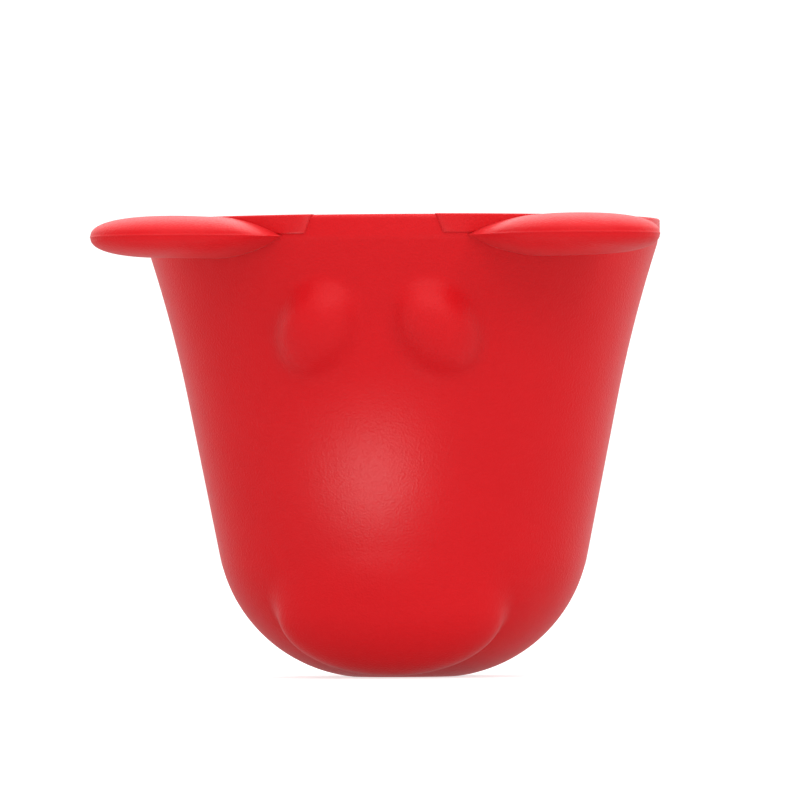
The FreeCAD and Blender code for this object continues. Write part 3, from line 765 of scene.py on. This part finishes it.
def build_floor_pad(brush):
    """The round pad with drain holes and upright nubs."""
    low, tip = PAD_LOW.z, PAD_HIGH.z
    edge, top, soft = PAD_HIGH.x, PAD_LOW.z + brush.pad, 0.45 * MM
    section = [(0.0, low), (edge - soft, low)] + quarter((edge - soft, low + soft), soft, -90, 0, 3)[1:]
    section += quarter((edge - soft, top - soft), soft, 0, 90, 4) + [(edge * 0.5, top), (0.0, top)]
    disc = spin("pad_disc", section, PAD_COLUMNS)
    cut_drains(disc, brush, low - MM, top + MM)
    points, faces = [], []
    for spot in [Vector((0, 0, 0)), *circle_spots(brush.drains, brush.nub_circle)]:
        place = Matrix.Translation(spot + Vector((0, 0, top))) @ Matrix.Rotation(-math.pi / 2, 4, "Y")
        add_bristle(points, faces, brush, tip - top, brush.nub_root, brush.nub_tip, place, Vector((0, 0, 0)))
    nubs = new_piece("nubs", points, faces)
    weld(nubs)
    piece = join("floor_pad_soft", [disc, nubs])
    sharpen(piece)
    return piece


# Finishes


def add_nodes(tree, kinds):
    """New nodes by name. kinds maps a node type, or a type and an operation, to the names of such nodes."""
    nodes = {}
    for kind, names in kinds.items():
        node_type, *operation = kind.split()
        for name in names.split():
            nodes[name] = tree.nodes.new(node_type)
            if operation:
                nodes[name].operation = operation[0]
    return nodes


def wire(tree, nodes, links):
    """Links nodes: each link is (from node, its output, to node, its input)."""
    for source, output, target, socket in links:
        tree.links.new(nodes[source].outputs[output], nodes[target].inputs[socket])


def set_inputs(node, values):
    """Sets inputs of a node or shader by their names or numbers."""
    for socket, value in values.items():
        node.inputs[socket].default_value = value


def start_group(name, inputs, outputs, kinds):
    """A shader node group with those sockets, and its unlinked nodes by name."""
    group = bpy.data.node_groups.new(name, "ShaderNodeTree")
    for socket, default in inputs.items():
        kind = "NodeSocketColor" if isinstance(default, tuple) else "NodeSocketFloat"
        made = group.interface.new_socket(name=socket, in_out="INPUT", socket_type=kind)
        made.default_value = default
    for socket in outputs:
        kind = "NodeSocketColor" if socket == "Color" else "NodeSocketFloat"
        group.interface.new_socket(name=socket, in_out="OUTPUT", socket_type=kind)
    shared = {"NodeGroupInput": "sockets", "NodeGroupOutput": "result", "ShaderNodeTexCoord": "place"}
    return group, add_nodes(group, {**shared, **kinds})


def make_grain_group():
    """Fine mould grain over a soft unevenness, as one height and as a speckle mask."""
    inputs = {"Grain Size": 0.0003, "Grain Depth": 0.00002, "Ripple Size": 0.015, "Ripple Depth": 0.0001}
    kinds = {
        "ShaderNodeTexNoise": "fine soft",
        "ShaderNodeTexVoronoi": "cells",
        "ShaderNodeMath DIVIDE": "fine_scale cells_scale soft_scale",
        "ShaderNodeMath MULTIPLY": "blend fine_height soft_height",
        "ShaderNodeMath ADD": "height",
    }
    group, n = start_group("Mould grain", inputs, ["Height", "Speckle"], kinds)
    sizes = {"fine": ("Grain Size", 1.0), "cells": ("Grain Size", 1.1), "soft": ("Ripple Size", 1.0)}
    for texture, (size, factor) in sizes.items():
        scale = f"{texture}_scale"
        n[scale].inputs[0].default_value = factor
        links = [
            ("sockets", size, scale, 1),
            ("place", "Object", texture, "Vector"),
            (scale, 0, texture, "Scale"),
        ]
        wire(group, n, links)
    n["fine"].inputs["Detail"].default_value = 3.0
    n["soft"].inputs["Detail"].default_value = 1.5
    links = [
        ("fine", "Fac", "blend", 0),
        ("cells", "Distance", "blend", 1),
        ("blend", 0, "fine_height", 0),
        ("sockets", "Grain Depth", "fine_height", 1),
        ("soft", "Fac", "soft_height", 0),
        ("sockets", "Ripple Depth", "soft_height", 1),
        ("fine_height", 0, "height", 0),
        ("soft_height", 0, "height", 1),
        ("height", 0, "result", "Height"),
        ("blend", 0, "result", "Speckle"),
    ]
    wire(group, n, links)
    return group


def make_drift_group():
    """Slow change of the pigment's depth, with a fine mottle on it."""
    inputs = {"Color": (0.6, 0.0, 0.0, 1.0), "Drift": 0.1, "Mottle": 0.05}
    kinds = {
        "ShaderNodeTexNoise": "wide close",
        "ShaderNodeMath MULTIPLY": "wide_part close_part",
        "ShaderNodeMath ADD": "sum value",
        "ShaderNodeHueSaturation": "shade",
    }
    group, n = start_group("Pigment drift", inputs, ["Color"], kinds)
    textures = (("wide", 38.0, 2.0, "Drift"), ("close", 420.0, 3.0, "Mottle"))
    for term, (texture, scale, detail, socket) in enumerate(textures):
        part = f"{texture}_part"
        set_inputs(n[texture], {"Scale": scale, "Detail": detail})
        links = [
            ("place", "Object", texture, "Vector"),
            (texture, "Fac", part, 0),
            ("sockets", socket, part, 1),
            (part, 0, "sum", term),
        ]
        wire(group, n, links)
    n["value"].inputs[1].default_value = 0.93
    links = [
        ("sum", 0, "value", 0),
        ("value", 0, "shade", "Value"),
        ("sockets", "Color", "shade", "Color"),
        ("shade", "Color", "result", "Color"),
    ]
    wire(group, n, links)
    return group


def make_edge_highlight_group():
    """Painted edge highlight: a pale film mixed into the colour on raised edges, broken up by a cloudy
    pattern, in place of their grazing light.
    """
    inputs = {"Color": (0.6, 0.0, 0.0, 1.0), "Film": (0.8, 0.2, 0.2, 1.0), "Amount": 0.3}
    kinds = {
        "ShaderNodeNewGeometry": "shape",
        "ShaderNodeMapRange": "edges patches",
        "ShaderNodeTexNoise": "cloud",
        "ShaderNodeMath MULTIPLY": "mask strength",
        "ShaderNodeMix": "mix",
    }
    group, n = start_group("Painted edge highlight", inputs, ["Color", "Mask"], kinds)
    # Mask of the painted highlight: convex edges by pointiness, broken up by cloud patches
    set_inputs(n["edges"], {"From Min": 0.505, "From Max": 0.60})
    set_inputs(n["cloud"], {"Scale": 160.0, "Detail": 4.0})
    set_inputs(n["patches"], {"From Min": 0.35, "From Max": 0.7, "To Min": 0.35})
    n["mix"].data_type = "RGBA"
    links = [
        ("shape", "Pointiness", "edges", "Value"),
        ("place", "Object", "cloud", "Vector"),
        ("cloud", "Fac", "patches", "Value"),
        ("edges", "Result", "mask", 0),
        ("patches", "Result", "mask", 1),
        ("mask", 0, "strength", 0),
        ("sockets", "Amount", "strength", 1),
        ("strength", 0, "mix", "Factor"),
        ("sockets", "Color", "mix", "A"),
        ("sockets", "Film", "mix", "B"),
        ("mix", "Result", "result", "Color"),
        ("mask", 0, "result", "Mask"),
    ]
    wire(group, n, links)
    return group


GROUP_MAKERS = {
    "Mould grain": make_grain_group,
    "Pigment drift": make_drift_group,
    "Painted edge highlight": make_edge_highlight_group,
}


def place_group(tree, name):
    """The shared group in a material, made the first time that it is asked for."""
    node = tree.nodes.new("ShaderNodeGroup")
    node.node_tree = bpy.data.node_groups.get(name) or GROUP_MAKERS[name]()
    return node


def silicone(name, look, base, roughness_change=0.0, painted_edge_highlight=0.5, grain=1.0, ripple=1.0):
    """Moulded silicone: satin, faintly grained, with a pale highlight painted on raised edges."""
    material = bpy.data.materials.get(name)
    if material:
        return material
    material = bpy.data.materials.new(name)
    material.use_nodes = True
    tree = material.node_tree
    n = add_nodes(tree, {"ShaderNodeBump": "bump", "ShaderNodeMapRange": "rough"})
    n["shader"] = tree.nodes["Principled BSDF"]
    n["grain"] = place_group(tree, "Mould grain")
    n["drift"] = place_group(tree, "Pigment drift")
    # Pale highlight painted into the base colour on raised edges
    n["film"] = place_group(tree, "Painted edge highlight")
    grain_depth, ripple_depth = look.grain_depth * grain, look.ripple_depth * ripple
    set_inputs(n["grain"], {"Grain Size": look.grain, "Grain Depth": grain_depth})
    set_inputs(n["grain"], {"Ripple Size": look.ripple, "Ripple Depth": ripple_depth})
    set_inputs(n["drift"], {"Color": (*base, 1.0), "Drift": 0.10, "Mottle": 0.04})
    # Colour and strength of the painted edge highlight
    set_inputs(n["film"], {"Film": (*look.painted_edge_highlight, 1.0), "Amount": painted_edge_highlight})
    set_inputs(n["bump"], {"Strength": 1.0, "Distance": 1.0})
    level = look.roughness + roughness_change
    set_inputs(n["rough"], {"To Min": level - 0.05, "To Max": level + 0.09})
    constants = {
        "IOR": 1.25,
        "Sheen Weight": look.sheen,
        "Sheen Roughness": 0.45,
        "Sheen Tint": (1.0, 0.82, 0.82, 1.0),
        "Subsurface Weight": 0.12,
        "Subsurface Radius": (1.0, 0.12, 0.10),
        "Subsurface Scale": 0.0018,
    }
    set_inputs(n["shader"], constants)
    links = [
        ("drift", "Color", "film", "Color"),
        ("film", "Color", "shader", "Base Color"),
        ("grain", "Height", "bump", "Height"),
        ("bump", "Normal", "shader", "Normal"),
        ("grain", "Speckle", "rough", "Value"),
        ("rough", "Result", "shader", "Roughness"),
    ]
    wire(tree, n, links)
    return material


def shell_silicone(look):
    """The finish of the cup and its collar."""
    return silicone("red_shell_silicone", look, look.shell)


def bristle_silicone(look):
    """The finish of the bristles and the floor pad, smoother than the rest."""
    # A weaker painted edge highlight on the bristles and the pad
    return silicone("red_bristle_silicone", look, look.bristle, -0.04, painted_edge_highlight=0.25, grain=0.6, ripple=0.2)


def finish_piece(piece, material):
    """Gives a piece its finish."""
    piece.data.materials.clear()
    piece.data.materials.append(material)


def floor_material(look):
    """Plain pale table, lit a little from below."""
    material = bpy.data.materials.new("studio_floor")
    material.use_nodes = True
    tree = material.node_tree
    n = add_nodes(tree, {"ShaderNodeLightPath": "path", "ShaderNodeMath MULTIPLY_ADD": "glow"})
    n["shader"] = tree.nodes["Principled BSDF"]
    n["drift"] = place_group(tree, "Pigment drift")
    set_inputs(n["drift"], {"Color": (*look.floor, 1.0), "Drift": 0.02, "Mottle": 0.02})
    set_inputs(n["glow"], {1: look.table_white, 2: look.table_glow})
    set_inputs(n["shader"], {"Roughness": 0.9, "Emission Color": (1.0, 1.0, 1.0, 1.0)})
    links = [
        ("drift", "Color", "shader", "Base Color"),
        ("path", "Is Camera Ray", "glow", 0),
        ("glow", 0, "shader", "Emission Strength"),
    ]
    wire(tree, n, links)
    return material


# Operators


class PAWCUP_OT_cup(bpy.types.Operator):
    """Build the cup with its eyes and muzzle"""

    bl_idname = "paw_cup.cup"
    bl_label = "Cup"

    def execute(self, context):
        scene = context.scene
        piece = build_cup(scene.paw_cup, scene.paw_face)
        finish_piece(piece, shell_silicone(scene.paw_silicone))
        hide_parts("cup_shell")
        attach(piece, "cup")
        return {"FINISHED"}


class PAWCUP_OT_collar(bpy.types.Operator):
    """Build the band round the rim"""

    bl_idname = "paw_cup.collar"
    bl_label = "Rim collar"

    def execute(self, context):
        scene = context.scene
        piece = build_collar(scene.paw_collar, scene.paw_cup.rim_height)
        finish_piece(piece, shell_silicone(scene.paw_silicone))
        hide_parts("rim_collar")
        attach(piece, "cup")
        return {"FINISHED"}


class PAWCUP_OT_ears(bpy.types.Operator):
    """Build both ears"""

    bl_idname = "paw_cup.ears"
    bl_label = "Ears"

    def execute(self, context):
        scene = context.scene
        ear, look = scene.paw_ear, scene.paw_silicone
        for side, sign in SIDES.items():
            piece = build_ear(ear, side)
            # The ears get a stronger painted edge highlight
            finish_piece(piece, silicone("red_ear_silicone", look, look.shell, painted_edge_highlight=0.6))
            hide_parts(f"{side}_ear")
            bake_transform(piece)
        return {"FINISHED"}


class PAWCUP_OT_sleeve(bpy.types.Operator):
    """Build the brush's sleeve"""

    bl_idname = "paw_cup.sleeve"
    bl_label = "Brush sleeve"

    def execute(self, context):
        scene = context.scene
        piece = build_sleeve(scene.paw_cup, scene.paw_brush)
        look = scene.paw_silicone
        finish_piece(piece, silicone("red_sleeve_silicone", look, look.sleeve, 0.04))
        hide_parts("brush_sleeve")
        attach(piece, "brush")
        return {"FINISHED"}


class PAWCUP_OT_bristles(bpy.types.Operator):
    """Build the rings of bristles"""

    bl_idname = "paw_cup.bristles"
    bl_label = "Bristle rings"

    def execute(self, context):
        scene = context.scene
        material = bristle_silicone(scene.paw_silicone)
        for node in RINGS:
            piece = build_bristle_ring(scene.paw_cup, scene.paw_brush, node)
            finish_piece(piece, material)
            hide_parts(node)
            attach(piece, "brush")
        return {"FINISHED"}


class PAWCUP_OT_floor_pad(bpy.types.Operator):
    """Build the floor pad with its nubs"""

    bl_idname = "paw_cup.floor_pad"
    bl_label = "Floor pad"

    def execute(self, context):
        scene = context.scene
        piece = build_floor_pad(scene.paw_brush)
        finish_piece(piece, bristle_silicone(scene.paw_silicone))
        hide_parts("floor_pad")
        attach(piece, "brush")
        return {"FINISHED"}


# The stage

FLOOR_HALF = 4.0
CEILING_PLACE, CEILING_SPREAD = (0.25, -0.6, 1.0), 70
# Each rectangular light: place, point it faces (the middle of the cup if None), width and height
FRONT_SOFTBOX = ((0.1, -1.3, 0.8), None, 1.1, 0.5)
SIDE_SOFTBOX = ((0.85, -0.85, 0.75), None, 0.4, 0.6)
LOW_CARD = ((-0.0115, -0.0785, 0.0205), (-0.003, -0.035, 0.036), 0.050, 0.008)
LOW_CARD_SPREAD = 46
SENSOR_WIDTH = 36.0
VIEW_NEAR, VIEW_FAR = 0.05, 30.0


def hang_lamp(name, data, place, target):
    """Puts a light at a place, facing a point."""
    lamp = bpy.data.objects.new(name, data)
    lamp.location = place
    lamp.rotation_euler = (Vector(target) - Vector(place)).to_track_quat("-Z", "Y").to_euler()
    bpy.context.scene.collection.objects.link(lamp)
    return lamp


def add_softbox(name, size, power, middle):
    """A rectangular light."""
    place, target, width, height = size
    data = bpy.data.lights.new(name, "AREA")
    data.shape = "RECTANGLE"
    data.size, data.size_y = width, height
    data.energy = power
    return hang_lamp(name, data, place, target or middle)


def add_low_card(power):
    """The small card low in front, which shows only in the silicone's gloss."""
    card = add_softbox("low_card", LOW_CARD, power, None)
    card.data.spread = math.radians(LOW_CARD_SPREAD)
    card.visible_camera = False
    card.visible_diffuse = False


def add_ceiling(strength):
    """A wide soft light from far away overhead."""
    data = bpy.data.lights.new("ceiling_light", "SUN")
    data.angle = math.radians(CEILING_SPREAD)
    data.energy = strength
    hang_lamp("ceiling_light", data, CEILING_PLACE, (0.0, 0.0, 0.0))


def add_camera(look):
    """The camera, turned a little to one side of the face and level with the cup's lower half."""
    data = bpy.data.cameras.new("camera")
    data.sensor_width = SENSOR_WIDTH
    data.lens = data.sensor_width * look.distance / look.view_width
    data.shift_x = look.shift
    data.clip_start, data.clip_end = VIEW_NEAR, VIEW_FAR
    camera = bpy.data.objects.new("camera", data)
    turn = look.azimuth
    camera.location = (look.distance * math.sin(turn), -look.distance * math.cos(turn), look.camera_height)
    rise = math.atan2(look.aim_height - look.camera_height, look.distance)
    camera.rotation_euler = (math.pi / 2 + rise, look.roll, turn)
    bpy.context.scene.collection.objects.link(camera)
    return camera


def studio_world(look):
    """A room with even fill light, brightest overhead in the silicone's gloss, and plain white in view."""
    world = bpy.data.worlds.new("studio")
    world.use_nodes = True
    tree = world.node_tree
    kinds = {
        "ShaderNodeTexCoord": "way",
        "ShaderNodeVectorMath DOT_PRODUCT": "overhead ahead",
        "ShaderNodeMapRange": "gloss behind",
        "ShaderNodeLightPath": "path",
        "ShaderNodeMath ADD": "room",
        "ShaderNodeMath MULTIPLY": "fill",
        "ShaderNodeMath MAXIMUM": "lit seen",
    }
    n = add_nodes(tree, kinds)
    n["background"] = tree.nodes["Background"]
    n["overhead"].inputs[1].default_value = (0.0, 0.3, 0.95)
    n["ahead"].inputs[1].default_value = (0.0, 1.0, 0.0)
    set_inputs(n["gloss"], {"To Min": look.room_low, "To Max": look.room_high})
    set_inputs(n["behind"], {"From Min": 0.3, "To Max": look.room_behind})
    n["fill"].inputs[1].default_value = look.fill
    n["background"].inputs["Color"].default_value = (1.0, 1.0, 1.0, 1.0)
    links = [
        ("way", "Generated", "overhead", 0),
        ("overhead", "Value", "gloss", "Value"),
        ("way", "Generated", "ahead", 0),
        ("ahead", "Value", "behind", "Value"),
        ("gloss", "Result", "room", 0),
        ("behind", "Result", "room", 1),
        ("path", "Is Diffuse Ray", "fill", 0),
        ("room", 0, "lit", 0),
        ("fill", 0, "lit", 1),
        ("lit", 0, "seen", 0),
        ("path", "Is Camera Ray", "seen", 1),
        ("seen", 0, "background", "Strength"),
    ]
    wire(tree, n, links)
    return world


class PAWCUP_OT_stage(bpy.types.Operator):
    """Build the floor, the lights and the camera"""

    bl_idname = "paw_cup.stage"
    bl_label = "Stage"

    def execute(self, context):
        scene, look, half = context.scene, context.scene.paw_stage, FLOOR_HALF
        corners = [(-half, -half, 0), (half, -half, 0), (half, half, 0), (-half, half, 0)]
        floor = new_piece("studio_floor", corners, [(0, 1, 2, 3)])
        floor.data.materials.append(floor_material(look))
        floor.visible_glossy = False
        scene.world = studio_world(look)
        middle = (0, 0, scene.paw_cup.rim_height / 2)
        add_ceiling(look.ceiling)
        add_softbox("front_softbox", FRONT_SOFTBOX, look.front_light, middle)
        add_softbox("side_softbox", SIDE_SOFTBOX, look.side_light, middle)
        add_low_card(look.low_card)
        scene.camera = add_camera(look)
        scene.view_settings.view_transform = "Standard"
        return {"FINISHED"}


OPERATORS = [
    PAWCUP_OT_cup,
    PAWCUP_OT_collar,
    PAWCUP_OT_ears,
    PAWCUP_OT_sleeve,
    PAWCUP_OT_bristles,
    PAWCUP_OT_floor_pad,
    PAWCUP_OT_stage,
]


class PAWCUP_PT_panel(bpy.types.Panel):
    """Lists the pieces and their sizes"""

    bl_idname = "PAWCUP_PT_panel"
    bl_label = "Paw Washer Cup"
    bl_space_type = "VIEW_3D"
    bl_region_type = "UI"
    bl_category = "Paw Cup"

    def draw(self, context):
        for operator in OPERATORS:
            self.layout.operator(operator.bl_idname)
        for name, group in SETTINGS.items():
            box = self.layout.box()
            for size in group.__annotations__:
                box.prop(getattr(context.scene, name), size)


def register():
    for settings in SETTINGS.values():
        bpy.utils.register_class(settings)
    for name, settings in SETTINGS.items():
        setattr(bpy.types.Scene, name, PointerProperty(type=settings))
    for operator in OPERATORS:
        bpy.utils.register_class(operator)
    bpy.utils.register_class(PAWCUP_PT_panel)


def unregister():
    bpy.utils.unregister_class(PAWCUP_PT_panel)
    for operator in reversed(OPERATORS):
        bpy.utils.unregister_class(operator)
    for name in SETTINGS:
        delattr(bpy.types.Scene, name)
    for settings in reversed(list(SETTINGS.values())):
        bpy.utils.unregister_class(settings)


def main():
    register()
    for operator in OPERATORS:
        group, name = operator.bl_idname.split(".")
        getattr(getattr(bpy.ops, group), name)()


if __name__ == "__main__":
    main()
